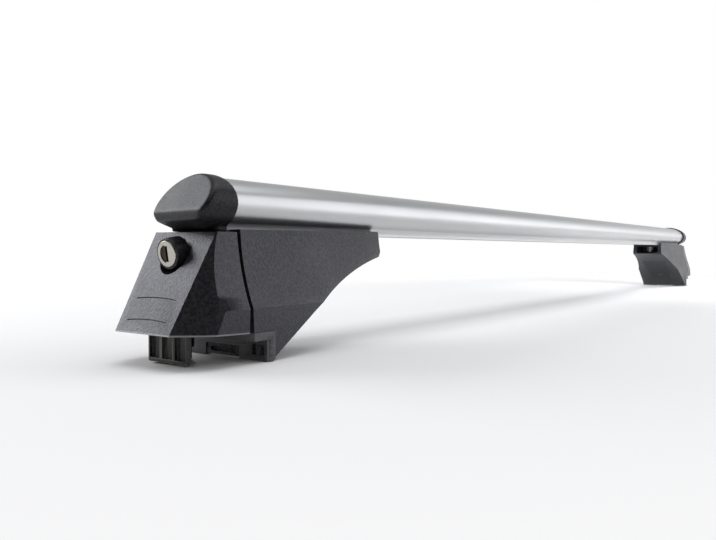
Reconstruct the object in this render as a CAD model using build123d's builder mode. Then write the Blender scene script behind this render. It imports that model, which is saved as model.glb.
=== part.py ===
from build123d import *
import math
import os

# Roof rack crossbar: one aluminium bar on two lockable feet for flush roof rails.
# Sizes are in millimetres. X runs along the bar, Z is up, and the rail pads rest on Z = 0.
# A foot is drawn with its own origin at the joint between the bar and the left end cap,
# with +X pointing inboard. The same foot, turned half round, makes the right side.

# Bar
joint_span = 1132.0
bar_width = 51.0
bar_height = 31.4
bar_bottom = 73.0
bar_wall = 2.2
neck_width = 35.0
neck_height = 5.5
slot_mouth = 10.5
slot_lip = 2.6
channel_width = 21.0
channel_height = 7.5
channel_wall = 2.0

# End cap
bar_setback = 0.5
cap_overlap = 3.0
cap_side_grow = 2.3
cap_top_grow = 1.4
cap_brow = 1.7
cap_lip_reach = 17.6
cap_chin_rise = 6.0
cap_lip_band = 5.0
cap_heel_reach = 9.0
cap_sole_rise = 1.4
cap_sweep = 0.18
cap_edge_radius = 2.0
cap_lug_length = 8.0
cap_plug_length = 20.0
cap_fit = 0.15

# Foot body
foot_front = 6.3
foot_length = 142.7
foot_top_front = 74.2
foot_top_tip = 76.0
tip_half_width = 22.4
tip_underside = 58.0
tip_lean = 2.5
tip_chin = 3.5
tip_waist_half_width = 23.2
tip_crease_half_width = 29.9
tip_base_half_width = 30.9
tip_corner_radius = 2.0
flare_margin = 2.0
root_depth = 1.0
shoulder_half_width = 25.5
waist_half_width = 27.9
waist_height = 56.0
crease_half_width = 35.8
crease_height = 30.5
base_half_width = 37.0
heel_height = 1.8
underside_slope = 31.0
underside_straight = 38.0
body_seat_height = 17.0
saddle_gap = 0.3
saddle_pad_thickness = 1.5
saddle_pad_start = 10.0
saddle_pad_inset = 41.0
saddle_pad_margin = 1.1
saddle_pad_radius = 2.0
seat_fit = 0.1
core_half_width = 13.0
core_reach = 5.5
core_height = 48.0
recess_width = 34.0
recess_floor = 59.5
recess_height = 10.5
recess_depth = 38.0

# Rail pad
pad_front = 16.8
pad_wall = 6.2
pad_flange = 4.5
pad_notch_width = 28.0
pad_notch_height = 0.9
pad_recess_height = 7.5
pad_recess_depth = 0.8
pad_slot_length = 22.0
pad_slot_height = 2.6
pad_slot_centre = 4.0
pad_slot_depth = 3.0
pad_vent_width = 3.2
pad_vent_height = 6.0
pad_vent_places = (26.0, 32.3)
pad_vent_centre = 6.4
pad_vent_depth = 2.0
pad_edge_width = 4.2
pad_heel_drop = 0.4
pad_side_inset = 0.2
pad_corner_radius = 2.0

# Front cover
cover_gap = 2.3
cover_wall = 2.4
cover_top = 72.6
cover_front_top = 10.8
cover_front_bottom = 40.8
cover_front_bottom_height = 18.4
cover_front_top_half_width = 25.2
cover_front_bottom_half_width = 22.2
cover_bottom_back = 16.8
cover_base_half_width = 35.0
flank_back = 13.6
flank_half_width = 33.0
flank_height = 45.0
hip_back = 20.3
hip_half_width = 35.4
hip_height = 18.0
knee_back = 26.8
knee_half_width = 32.1
badge_half_width = 16.0
badge_drop = 41.6
badge_height = 12.9
badge_arch = 1.0
badge_groove = 0.6

# Lock
lock_face_x = 23.6
lock_face_height = 60.4
lock_tilt = 9.0
lock_bezel_diameter = 17.3
lock_bezel_length = 9.0
lock_bezel_radius = 0.8
lock_length = 17.0
lock_barrel_diameter = 13.4
lock_core_diameter = 14.5
lock_core_flange = 3.0
lock_core_radius = 0.4
lock_plug_diameter = 10.0
lock_core_proud = 0.4
lock_clearance = 0.15
lock_pocket_diameter = 22.0
lock_pocket_wall = 1.2
keyway_width = 2.6
keyway_height = 8.6
keyway_depth = 11.0
shutter_depth = 1.2
shutter_thickness = 0.8
shutter_gap = 0.1
cam_thickness = 2.2
cam_width = 8.0
cam_reach = 12.5
cam_hub_radius = 4.0
cam_tip_radius = 2.0
cam_screw_diameter = 3.0
cam_screw_head = 6.0
cam_screw_head_height = 1.6
cam_screw_length = 5.0
cam_screw_spare = 0.5
cam_screw_gap = 0.1
catch_front = 10.6
catch_thickness = 2.4
catch_inside = 9.8
catch_arm_inside = 14.8
catch_arm_thickness = 3.0
catch_height = 12.0
catch_step = 4.5
guide_gap = 0.3
guide_rib_thickness = 1.6
guide_rib_height = 10.0

# Clamp
claw_face = 23.8
claw_thickness = 3.5
claw_rib_depth = 2.0
claw_half_width = 15.7
claw_bottom = 0.8
claw_flange_height = 2.4
claw_toe_height = 1.2
claw_hook_height = 3.6
claw_hook_radius = 1.2
claw_top = 42.8
claw_toe = 3.0
liner_thickness = 1.5
liner_height = 9.6
liner_margin = 1.0
bolt_diameter = 8.0
bolt_height = 27.0
bolt_head_diameter = 13.0
bolt_head_height = 3.6
bolt_socket = 5.0
bolt_end = 30.0
bolt_hole_gap = 0.4
bolt_socket_depth = 3.2
bolt_head_radius = 0.8
bolt_end_chamfer = 1.0
bolt_bore_spare = 2.0
washer_thickness = 1.5
washer_diameter = 16.0
clamp_nut_width = 13.0
clamp_nut_height = 6.5
clamp_nut_place = 9.0
clamp_nut_fit = 0.1
clamp_thread_gap = 0.3
clamp_travel = 12.0
claw_top_radius = 4.0
claw_rib_width = 2.4
claw_channel_top = 26.0
claw_channels = 3

# Bar fixing
tbolt_inset = 21.0
tbolt_diameter = 6.0
tbolt_head_width = 20.0
tbolt_head_length = 22.0
tbolt_head_height = 4.0
tbolt_end = 61.5
tbolt_nut_width = 10.0
tbolt_nut_height = 5.0
tbolt_washer_diameter = 12.5
tbolt_washer_thickness = 1.2
tbolt_hole_gap = 0.3
tbolt_washer_gap = 0.2
tbolt_thread_gap = 0.1
tbolt_head_radius = 2.0
tbolt_play = 0.3

# Underside panel
panel_start = 42.0
panel_inset = 45.0
panel_start_half_width = 16.0
panel_end_half_width = 19.0
panel_thickness = 2.6
panel_gap = 0.2
panel_screw_place = 54.0
panel_screw_head = 7.0
panel_screw_shank = 3.5
panel_screw_length = 12.0
panel_screw_sink = 1.6
panel_screw_head_height = 1.4
panel_screw_recess = 4.9
panel_screw_recess_width = 0.9
panel_screw_recess_depth = 1.0
panel_screw_pilot = 0.1
panel_screw_gap = 0.2
panel_corner_radius = 2.0

os.makedirs("parts", exist_ok=True)

half_joint = joint_span / 2
oval_centre = bar_bottom + bar_height / 2
bar_end = half_joint - bar_setback
cap_end = 2 * bar_width
channel_top = bar_bottom + slot_lip + channel_height
catch_top = cover_top - cover_wall - guide_gap
catch_back = catch_front - catch_thickness
catch_reach = catch_arm_inside + catch_arm_thickness - catch_inside
foot_tip = foot_front + foot_length
heel_x = pad_front + pad_wall
tbolt_place = foot_tip - tbolt_inset
saddle_pad_length = foot_tip - saddle_pad_inset - saddle_pad_start
panel_end = foot_tip - panel_inset
straight_end = heel_x + underside_straight
straight_rise = underside_straight * math.tan(math.radians(underside_slope))
recess_top = recess_floor + recess_height
tbolt_head_bottom = bar_bottom + slot_lip + tbolt_play


# Closed outline of the bar, grown by a margin but flush underneath
def bar_outline(grow):
    with BuildSketch() as outline:
        with Locations((0, oval_centre)):
            Ellipse(bar_width / 2 + grow, bar_height / 2 + grow)
        with Locations((0, bar_bottom)):
            Rectangle(neck_width + 2 * grow, 2 * (neck_height + grow))
        with Locations((0, bar_bottom)):
            Rectangle(
                2 * bar_width, 2 * bar_height, align=(Align.CENTER, Align.MIN), mode=Mode.INTERSECT
            )
    return outline.sketch


# Hollow inside the bar above the T-channel, drawn in from its walls by a margin
def bar_hollow(inset):
    with BuildSketch() as hollow:
        with Locations((0, oval_centre)):
            Ellipse(bar_width / 2 - bar_wall - inset, bar_height / 2 - bar_wall - inset)
        with Locations((0, bar_bottom)):
            Rectangle(
                channel_width + 2 * (channel_wall + inset),
                2 * (channel_top + channel_wall + inset - bar_bottom),
                mode=Mode.SUBTRACT,
            )
    return hollow.sketch


with BuildPart() as aluminium_bar:
    with BuildSketch(Plane.YZ):
        add(bar_outline(0))
        add(bar_hollow(0), mode=Mode.SUBTRACT)
        with Locations((0, bar_bottom)):
            Rectangle(slot_mouth, 2 * slot_lip, mode=Mode.SUBTRACT)
        with Locations((0, bar_bottom + slot_lip)):
            Rectangle(
                channel_width,
                channel_height,
                align=(Align.CENTER, Align.MIN),
                mode=Mode.SUBTRACT,
            )
    extrude(amount=bar_end, both=True)


# Cap cut off on a slant that is swept back in plan, with a sleeve over the bar and a plug inside
with BuildPart() as end_cap:
    cap_top = oval_centre + bar_height / 2 + cap_top_grow
    cap_chin_height = bar_bottom + cap_chin_rise
    cap_lip_height = cap_chin_height + cap_lip_band
    face_slope = (cap_lip_reach - cap_brow) / (cap_top - cap_lip_height)
    with BuildSketch(Plane.YZ.offset(cap_overlap)):
        with Locations((0, oval_centre)):
            Ellipse(bar_width / 2 + cap_side_grow, bar_height / 2 + cap_top_grow)
    extrude(amount=-cap_end)
    with BuildSketch(Plane.XZ):
        with BuildLine():
            Polyline(
                (cap_end, bar_bottom + cap_sole_rise),
                (-cap_heel_reach, bar_bottom + cap_sole_rise),
                (-cap_lip_reach, cap_chin_height),
                (-cap_lip_reach, cap_lip_height),
                (face_slope * bar_height - cap_brow, cap_top + bar_height),
                (cap_end, cap_top + bar_height),
                close=True,
            )
        make_face()
    extrude(amount=bar_width, dir=(cap_sweep, 1, 0), both=True, mode=Mode.INTERSECT)
    outer_edges = end_cap.edges().filter_by(lambda edge: edge.center().X < bar_setback)
    fillet(outer_edges, radius=cap_edge_radius)
    # Lug that closes the end of the bar's neck
    with BuildSketch(Plane.YZ.offset(cap_overlap)):
        with Locations((0, bar_bottom)):
            Rectangle(
                neck_width + 2 * cap_top_grow,
                neck_height + cap_top_grow,
                align=(Align.CENTER, Align.MIN),
            )
    extrude(amount=-cap_lug_length)
    with BuildSketch(Plane.YZ.offset(cap_overlap)):
        add(bar_outline(cap_fit))
    extrude(amount=bar_setback - cap_overlap, mode=Mode.SUBTRACT)
    with BuildSketch(Plane.YZ.offset(bar_setback)):
        add(bar_hollow(cap_fit))
    extrude(amount=cap_plug_length)

# The sweep makes the other end's cap a mirror image
with BuildPart() as mirrored_cap:
    mirror(end_cap.part, about=Plane.XZ)


# Side outline of the flared foot at one plane: straight below the crease, hollow above
def flare_outline(shoulder, waist, crease, base, bottom, top):
    with BuildSketch() as outline:
        with BuildLine() as edge:
            right = Line((base, bottom), (crease, crease_height))
            ThreePointArc(right @ 1, (waist, waist_height), (shoulder, top))
            Line((shoulder, top), (-shoulder, top))
            ThreePointArc((-shoulder, top), (-waist, waist_height), (-crease, crease_height))
            Line((-crease, crease_height), (-base, bottom))
            Line((-base, bottom), (base, bottom))
        make_face()
    return outline.sketch


# Side view of the space between the foot's underside and a copy of it shifted up
def underside_band(thickness):
    with BuildSketch() as band:
        with BuildLine():
            low = Line((heel_x, heel_height), (straight_end, heel_height + straight_rise))
            bow = TangentArc(low @ 1, (foot_tip - tip_lean, tip_underside), tangent=low % 1)
            Line(bow @ 1, bow @ 1 + (0, thickness))
            high = Line(
                (heel_x, heel_height + thickness),
                (straight_end, heel_height + straight_rise + thickness),
            )
            TangentArc(high @ 1, bow @ 1 + (0, thickness), tangent=high % 1)
            Line(high @ 0, low @ 0)
        make_face()
    return band.sketch


def panel_plan(grow):
    with BuildSketch() as plan:
        with BuildLine():
            Polyline(
                (panel_start - grow, -panel_start_half_width - grow),
                (panel_start - grow, panel_start_half_width + grow),
                (panel_end + grow, panel_end_half_width + grow),
                (panel_end + grow, -panel_end_half_width - grow),
                close=True,
            )
        make_face()
        fillet(plan.vertices(), radius=panel_corner_radius)
    return plan.sketch


# Seat of the panel's screw, square to the straight part of the underside
screw_rise = (panel_screw_place - heel_x) * math.tan(math.radians(underside_slope))
panel_screw_out = Vector(
    math.sin(math.radians(underside_slope)), 0, -math.cos(math.radians(underside_slope))
)
panel_screw_spot = Plane(
    (panel_screw_place, 0, heel_height + screw_rise), z_dir=panel_screw_out
)
panel_screw_seat = panel_screw_spot.offset(-panel_screw_sink)

with BuildPart() as foot_body:
    with BuildSketch(Plane.YZ.offset(foot_front)):
        add(
            flare_outline(
                shoulder_half_width,
                waist_half_width,
                crease_half_width,
                base_half_width,
                0,
                foot_top_tip + flare_margin,
            )
        )
    with BuildSketch(Plane.YZ.offset(foot_tip)):
        add(
            flare_outline(
                tip_half_width,
                tip_waist_half_width,
                tip_crease_half_width,
                tip_base_half_width,
                0,
                foot_top_tip + flare_margin,
            )
        )
    loft(ruled=True)
    with BuildSketch(Plane.XZ):
        with BuildLine():
            heel = Line((heel_x, body_seat_height), (heel_x, heel_height))
            low = Line(heel @ 1, (straight_end, heel_height + straight_rise))
            bow = TangentArc(low @ 1, (foot_tip - tip_lean, tip_underside), tangent=low % 1)
            Polyline(
                bow @ 1,
                (foot_tip, tip_underside + tip_chin),
                (foot_tip - tip_lean, foot_top_tip),
                (foot_front, foot_top_front),
                (foot_front, body_seat_height),
                heel @ 0,
            )
        make_face()
    extrude(amount=2 * base_half_width, both=True, mode=Mode.INTERSECT)
    tip_corners = foot_body.edges().filter_by(Axis.Y).filter_by(
        lambda edge: edge.center().X > foot_tip - 2 * tip_lean
    )
    fillet(tip_corners, radius=tip_corner_radius)
    # Core under the cover, which carries the clamp bolt
    with BuildSketch(Plane.XY.offset(body_seat_height)):
        with Locations((-core_reach, 0)):
            Rectangle(
                foot_front + core_reach + root_depth,
                2 * core_half_width,
                align=(Align.MIN, Align.CENTER),
            )
    extrude(amount=core_height - body_seat_height)
    # Arms that guide the cover; the lips on their ends hold the lock's cam when it is turned
    with BuildSketch(Plane.XY.offset(catch_top)):
        for side in (1, -1):
            with Locations((-catch_back, side * (catch_arm_inside + catch_arm_thickness / 2))):
                Rectangle(
                    foot_front + catch_back + root_depth,
                    catch_arm_thickness,
                    align=(Align.MIN, Align.CENTER),
                )
    extrude(amount=-catch_height)
    with BuildSketch(Plane.XY.offset(catch_top - catch_step)):
        for side in (1, -1):
            with Locations((-catch_front, side * (catch_inside + catch_reach / 2))):
                Rectangle(catch_thickness, catch_reach, align=(Align.MIN, Align.CENTER))
    extrude(amount=catch_step - catch_height)
    # Channel for the neck of the bar, and the seat of the saddle pad in its floor
    with BuildSketch(Plane.YZ.offset(foot_front)):
        with Locations((0, bar_bottom - saddle_gap)):
            Rectangle(
                neck_width + 2 * saddle_gap, neck_height, align=(Align.CENTER, Align.MIN)
            )
    extrude(amount=foot_length, mode=Mode.SUBTRACT)
    with BuildSketch(Plane.XY.offset(bar_bottom - saddle_gap)):
        with Locations((saddle_pad_start - seat_fit, 0)):
            Rectangle(
                saddle_pad_length + 2 * seat_fit,
                neck_width - 2 * (saddle_pad_margin - seat_fit),
                align=(Align.MIN, Align.CENTER),
            )
    extrude(amount=-saddle_pad_thickness, mode=Mode.SUBTRACT)
    # Open recess in the tip, which gives access to the bar fixing
    with BuildSketch(Plane.YZ.offset(foot_tip)):
        with Locations((0, recess_floor)):
            Rectangle(recess_width, recess_height, align=(Align.CENTER, Align.MIN))
    extrude(amount=-recess_depth, mode=Mode.SUBTRACT)
    with BuildSketch(Plane.XY.offset(recess_floor)):
        with Locations((tbolt_place, 0)):
            Circle(tbolt_diameter / 2 + tbolt_hole_gap)
    extrude(amount=bar_bottom - recess_floor, mode=Mode.SUBTRACT)
    # Bore of the clamp bolt with its nut pocket
    with BuildSketch(Plane.YZ.offset(-core_reach)):
        with Locations((0, bolt_height)):
            Circle(bolt_diameter / 2 + bolt_hole_gap)
    extrude(amount=core_reach + bolt_end + clamp_travel + bolt_bore_spare, mode=Mode.SUBTRACT)
    with BuildSketch(Plane.YZ.offset(clamp_nut_place)):
        with Locations((0, bolt_height)):
            RegularPolygon(
                clamp_nut_width / 2 + clamp_nut_fit, 6, major_radius=False, rotation=30
            )
        with Locations((0, body_seat_height)):
            Rectangle(
                clamp_nut_width + 2 * clamp_nut_fit,
                bolt_height - body_seat_height,
                align=(Align.CENTER, Align.MIN),
            )
    extrude(amount=clamp_nut_height + clamp_nut_fit, mode=Mode.SUBTRACT)
    # Sunk seat of the underside panel and its screw
    with BuildSketch(Plane.XZ):
        add(underside_band(panel_thickness))
    underside = extrude(amount=base_half_width, both=True, mode=Mode.PRIVATE)
    with BuildSketch(Plane.XY) as seat_plan:
        add(panel_plan(panel_gap))
    seat = extrude(seat_plan.sketch, amount=foot_top_tip, mode=Mode.PRIVATE)
    add(underside & seat, mode=Mode.SUBTRACT)
    with Locations(panel_screw_spot):
        Hole(panel_screw_shank / 2 + panel_screw_pilot, depth=panel_screw_length)

with BuildPart() as underside_panel:
    with BuildSketch(Plane.XZ):
        add(underside_band(panel_thickness - panel_gap))
    extrude(amount=base_half_width, both=True)
    with BuildSketch(Plane.XY):
        add(panel_plan(0))
    extrude(amount=foot_top_tip, mode=Mode.INTERSECT)
    with Locations(panel_screw_spot):
        CounterBoreHole(
            panel_screw_shank / 2 + panel_screw_gap,
            panel_screw_head / 2 + panel_screw_gap,
            panel_screw_sink,
            depth=panel_screw_length,
        )

with BuildPart() as panel_screw:
    with BuildSketch(panel_screw_seat):
        Circle(panel_screw_head / 2)
    extrude(amount=panel_screw_head_height)
    with BuildSketch(panel_screw_seat):
        Circle(panel_screw_shank / 2)
    extrude(amount=-panel_screw_length + panel_screw_sink)
    with BuildSketch(panel_screw_seat.offset(panel_screw_head_height)):
        Rectangle(panel_screw_recess, panel_screw_recess_width)
        Rectangle(panel_screw_recess_width, panel_screw_recess)
    extrude(amount=-panel_screw_recess_depth, mode=Mode.SUBTRACT)

with BuildPart() as saddle_pad:
    with BuildSketch(Plane.XY.offset(bar_bottom - saddle_gap)):
        with Locations((saddle_pad_start, 0)):
            Rectangle(
                saddle_pad_length,
                neck_width - 2 * saddle_pad_margin,
                align=(Align.MIN, Align.CENTER),
            )
    extrude(amount=-saddle_pad_thickness)
    fillet(saddle_pad.edges().filter_by(Axis.Z), radius=saddle_pad_radius)

# Moulded pad against the roof rail: upright wall, flange over the rail, openings in its face
with BuildPart() as rail_pad:
    with BuildSketch(Plane.XZ):
        with BuildLine():
            Polyline(
                (pad_front, 0),
                (pad_front + pad_edge_width, 0),
                (heel_x, heel_height - pad_heel_drop),
                (heel_x, body_seat_height),
                (foot_front, body_seat_height),
                (foot_front, body_seat_height - pad_flange),
                (pad_front, body_seat_height - pad_flange),
                close=True,
            )
        make_face()
    extrude(amount=base_half_width - pad_side_inset, both=True)
    pad_corners = rail_pad.edges().filter_by(Axis.Z).filter_by(
        lambda edge: edge.center().Z < body_seat_height - pad_flange
    )
    fillet(pad_corners.group_by(Axis.X)[0], radius=pad_corner_radius)
    # Notch in the lower edge, and the sunk field round the slot above it
    with BuildSketch(Plane.YZ.offset(pad_front)):
        Rectangle(pad_notch_width, pad_notch_height, align=(Align.CENTER, Align.MIN))
    extrude(amount=pad_wall, mode=Mode.SUBTRACT)
    with BuildSketch(Plane.YZ.offset(pad_front)):
        Rectangle(pad_notch_width, pad_recess_height, align=(Align.CENTER, Align.MIN))
    extrude(amount=pad_recess_depth, mode=Mode.SUBTRACT)
    with BuildSketch(Plane.YZ.offset(pad_front)):
        with Locations((0, pad_slot_centre)):
            SlotOverall(pad_slot_length, pad_slot_height)
    extrude(amount=pad_slot_depth, mode=Mode.SUBTRACT)
    with BuildSketch(Plane.YZ.offset(pad_front)):
        for place in pad_vent_places:
            with Locations((place, pad_vent_centre), (-place, pad_vent_centre)):
                Rectangle(pad_vent_width, pad_vent_height)
    extrude(amount=pad_vent_depth, mode=Mode.SUBTRACT)


# Point on the cover's slanted front: a distance down from its top edge
front_slope = Vector(
    cover_front_top - cover_front_bottom, 0, cover_front_bottom_height - cover_top
).normalized()
front_out = Vector(0, 1, 0).cross(front_slope)


# Plane of the slanted front, moved inwards by a wall
def front_plane(inset):
    corner = Vector(-cover_front_top, 0, cover_top)
    return Plane(corner - front_out * inset, x_dir=Vector(0, -1, 0), z_dir=front_out)


# Plane through three corners of the cover, moved inwards by a wall
def corner_plane(corners, side, inset):
    first, second, third = [Vector(x, side * y, z) for x, y, z in corners]
    outward = (second - first).cross(third - first).normalized()
    if outward.X > 0:
        outward = -outward
    return Plane(first - outward * inset, z_dir=outward)


top_corner = (-cover_front_top, cover_front_top_half_width, cover_top)
toe_corner = (-cover_front_bottom, cover_front_bottom_half_width, cover_front_bottom_height)
flank_corner = (-flank_back, flank_half_width, flank_height)
hip_corner = (-hip_back, hip_half_width, hip_height)
knee_corner = (-knee_back, knee_half_width, cover_front_bottom_height)


# Outer form of the cover, or its hollow when drawn in by a wall
def cover_form(inset):
    with BuildPart() as form:
        with BuildSketch(Plane.YZ.offset(foot_front - cover_gap)):
            outline = flare_outline(
                shoulder_half_width,
                waist_half_width,
                crease_half_width,
                cover_base_half_width,
                0,
                cover_top,
            )
            if inset > 0:
                offset(outline, amount=-inset, kind=Kind.INTERSECTION)
            else:
                add(outline)
        extrude(amount=-cover_front_bottom - 2 * foot_front)
        split(bisect_by=front_plane(inset), keep=Keep.BOTTOM)
        for side in (1, -1):
            flank = corner_plane((top_corner, toe_corner, flank_corner), side, inset)
            split(bisect_by=flank, keep=Keep.BOTTOM)
            facet = corner_plane((flank_corner, hip_corner, knee_corner), side, inset)
            split(bisect_by=facet, keep=Keep.BOTTOM)
    return form.part


# Bottom edge of the cover, rising from the gap to the front
hem_slope = Vector(
    -cover_front_bottom - foot_front, 0, cover_front_bottom_height - cover_bottom_back
).normalized()
hem_plane = Plane((foot_front, 0, cover_bottom_back), z_dir=Vector(0, 1, 0).cross(hem_slope))
lock_axis = Vector(-math.cos(math.radians(lock_tilt)), 0, -math.sin(math.radians(lock_tilt)))
lock_face = Plane((-lock_face_x, 0, lock_face_height), x_dir=Vector(0, -1, 0), z_dir=lock_axis)

# Cup round the lock, cut off where it would leave the cover
with BuildPart() as lock_cup:
    with BuildSketch(lock_face):
        Circle(lock_pocket_diameter / 2 + lock_pocket_wall)
    extrude(amount=-lock_bezel_length - cover_wall)
    add(cover_form(0), mode=Mode.INTERSECT)

with BuildPart() as front_cover:
    add(cover_form(0))
    add(cover_form(cover_wall), mode=Mode.SUBTRACT)
    add(lock_cup.part)
    with BuildSketch(Plane.XY.offset(cover_top - cover_wall)):
        for side in (1, -1):
            rib_inside = catch_arm_inside + catch_arm_thickness + guide_gap
            with Locations((-catch_front, side * (rib_inside + guide_rib_thickness / 2))):
                Rectangle(
                    catch_front + foot_front - cover_gap,
                    guide_rib_thickness,
                    align=(Align.MIN, Align.CENTER),
                )
    extrude(amount=-guide_rib_height)
    split(bisect_by=hem_plane, keep=Keep.TOP)
    with BuildSketch(lock_face.offset(lock_bezel_length)):
        Circle(lock_pocket_diameter / 2)
    extrude(amount=-2 * lock_bezel_length, mode=Mode.SUBTRACT)
    with BuildSketch(lock_face):
        Circle(lock_barrel_diameter / 2 + lock_clearance)
    extrude(amount=-lock_length, mode=Mode.SUBTRACT)
    # Two shallow arched grooves that frame a bare field
    with BuildSketch(front_plane(0)):
        for drop in (badge_drop, badge_drop + badge_height):
            with BuildLine():
                ThreePointArc(
                    (-badge_half_width, -drop),
                    (0, -drop + badge_arch),
                    (badge_half_width, -drop),
                )
            trace(line_width=badge_groove)
    extrude(amount=-badge_groove, mode=Mode.SUBTRACT)

with BuildPart() as lock_housing:
    with BuildSketch(lock_face):
        Circle(lock_bezel_diameter / 2)
    extrude(amount=-lock_bezel_length)
    fillet(lock_housing.edges().sort_by(Axis.X)[0], radius=lock_bezel_radius)
    with BuildSketch(lock_face):
        Circle(lock_barrel_diameter / 2)
    extrude(amount=-lock_length)
    with BuildSketch(lock_face):
        Circle(lock_core_diameter / 2 + lock_clearance)
    extrude(amount=-lock_core_flange, mode=Mode.SUBTRACT)
    with BuildSketch(lock_face):
        Circle(lock_plug_diameter / 2 + lock_clearance)
    extrude(amount=-lock_length, mode=Mode.SUBTRACT)

with BuildPart() as lock_core:
    with BuildSketch(lock_face.offset(lock_core_proud)):
        Circle(lock_core_diameter / 2)
    extrude(amount=-lock_core_flange)
    fillet(lock_core.edges().sort_by(Axis.X)[0], radius=lock_core_radius)
    with BuildSketch(lock_face):
        Circle(lock_plug_diameter / 2)
    extrude(amount=-lock_length - lock_clearance)
    with BuildSketch(lock_face.offset(lock_core_proud)):
        Rectangle(keyway_width, keyway_height)
    extrude(amount=-keyway_depth, mode=Mode.SUBTRACT)
    with BuildSketch(lock_face.offset(-lock_length - lock_clearance)):
        Circle(cam_screw_diameter / 2 + cam_screw_gap)
    extrude(amount=cam_screw_length, mode=Mode.SUBTRACT)

with BuildPart() as keyhole_shutter:
    with BuildSketch(lock_face.offset(lock_core_proud - shutter_depth)):
        Rectangle(keyway_width - 2 * shutter_gap, keyway_height - 2 * shutter_gap)
    extrude(amount=-shutter_thickness)

cam_face = lock_face.offset(-lock_length - lock_clearance)

with BuildPart() as lock_cam:
    with BuildSketch(cam_face):
        Circle(cam_hub_radius)
        Rectangle(cam_width, cam_reach, align=(Align.CENTER, Align.MAX))
        Circle(cam_screw_diameter / 2 + cam_screw_gap, mode=Mode.SUBTRACT)
    extrude(amount=-cam_thickness)
    cam_edges = lock_cam.edges().filter_by(Axis(cam_face.origin, lock_axis))
    fillet(cam_edges.group_by(Axis.Z)[0], radius=cam_tip_radius)

with BuildPart() as cam_screw:
    with BuildSketch(cam_face.offset(-cam_thickness)):
        Circle(cam_screw_head / 2)
    extrude(amount=-cam_screw_head_height)
    with BuildSketch(cam_face.offset(-cam_thickness)):
        Circle(cam_screw_diameter / 2)
    extrude(amount=cam_thickness + cam_screw_length - cam_screw_spare)

# Hooked clamp plate with upright channels in its outer face
with BuildPart() as clamp_claw:
    with BuildSketch(Plane.XZ):
        with BuildLine():
            Polyline(
                (-claw_face, claw_bottom),
                (-claw_face + claw_thickness + claw_toe, claw_bottom),
                (-claw_face + claw_thickness + claw_toe, claw_bottom + claw_toe_height),
                (-claw_face + claw_thickness, claw_bottom + claw_hook_height),
                (-claw_face + claw_thickness, claw_top),
                (-claw_face, claw_top),
                close=True,
            )
        make_face()
    extrude(amount=claw_half_width, both=True)
    hook_edge = clamp_claw.edges().filter_by(Axis.Y).sort_by(Axis.Z)[0:2].sort_by(Axis.X)[0]
    fillet(hook_edge, radius=claw_hook_radius)
    fillet(
        clamp_claw.edges().filter_by(Axis.X).group_by(Axis.Z)[-1], radius=claw_top_radius
    )
    channel_pitch = 2 * claw_half_width / claw_channels
    with BuildSketch(Plane.YZ.offset(-claw_face)):
        with Locations((0, claw_bottom + claw_flange_height)):
            with GridLocations(channel_pitch, 0, claw_channels, 1):
                Rectangle(
                    channel_pitch - claw_rib_width,
                    claw_channel_top - claw_bottom - claw_flange_height,
                    align=(Align.CENTER, Align.MIN),
                )
    extrude(amount=claw_rib_depth, mode=Mode.SUBTRACT)
    with BuildSketch(Plane.YZ.offset(-claw_face)):
        with Locations((0, bolt_height)):
            Circle(bolt_diameter / 2 + bolt_hole_gap)
    extrude(amount=claw_thickness, mode=Mode.SUBTRACT)

with BuildPart() as claw_liner:
    with BuildSketch(Plane.YZ.offset(-claw_face + claw_thickness)):
        with Locations((0, claw_bottom + claw_hook_height)):
            Rectangle(
                2 * (claw_half_width - liner_margin),
                liner_height,
                align=(Align.CENTER, Align.MIN),
            )
    extrude(amount=liner_thickness)

with BuildPart() as clamp_washer:
    with BuildSketch(Plane.YZ.offset(-claw_face)):
        with Locations((0, bolt_height)):
            Circle(washer_diameter / 2)
            Circle(bolt_diameter / 2 + bolt_hole_gap, mode=Mode.SUBTRACT)
    extrude(amount=-washer_thickness)

with BuildPart() as clamp_bolt:
    head_seat = Plane.YZ.offset(-claw_face - washer_thickness)
    with BuildSketch(head_seat):
        with Locations((0, bolt_height)):
            Circle(bolt_head_diameter / 2)
    extrude(amount=-bolt_head_height)
    fillet(clamp_bolt.edges().sort_by(Axis.X)[0], radius=bolt_head_radius)
    with BuildSketch(head_seat):
        with Locations((0, bolt_height)):
            Circle(bolt_diameter / 2)
    extrude(amount=claw_face + washer_thickness + bolt_end)
    chamfer(clamp_bolt.edges().sort_by(Axis.X)[-1], length=bolt_end_chamfer)
    with BuildSketch(head_seat.offset(-bolt_head_height)):
        with Locations((0, bolt_height)):
            RegularPolygon(bolt_socket / 2, 6, major_radius=False)
    extrude(amount=bolt_socket_depth, mode=Mode.SUBTRACT)

with BuildPart() as clamp_nut:
    with BuildSketch(Plane.YZ.offset(clamp_nut_place)):
        with Locations((0, bolt_height)):
            RegularPolygon(clamp_nut_width / 2, 6, major_radius=False, rotation=30)
            Circle(bolt_diameter / 2 + clamp_thread_gap, mode=Mode.SUBTRACT)
    extrude(amount=clamp_nut_height)

# Bolt whose flat head slides in the bar's channel, with its washer and nut in the recess
with BuildPart() as tee_bolt:
    with BuildSketch(Plane.XY.offset(tbolt_head_bottom)):
        with Locations((tbolt_place, 0)):
            Rectangle(tbolt_head_length, tbolt_head_width)
    extrude(amount=tbolt_head_height)
    fillet(tee_bolt.edges().filter_by(Axis.Z), radius=tbolt_head_radius)
    with BuildSketch(Plane.XY.offset(tbolt_end)):
        with Locations((tbolt_place, 0)):
            Circle(tbolt_diameter / 2)
    extrude(amount=tbolt_head_bottom - tbolt_end)

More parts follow.
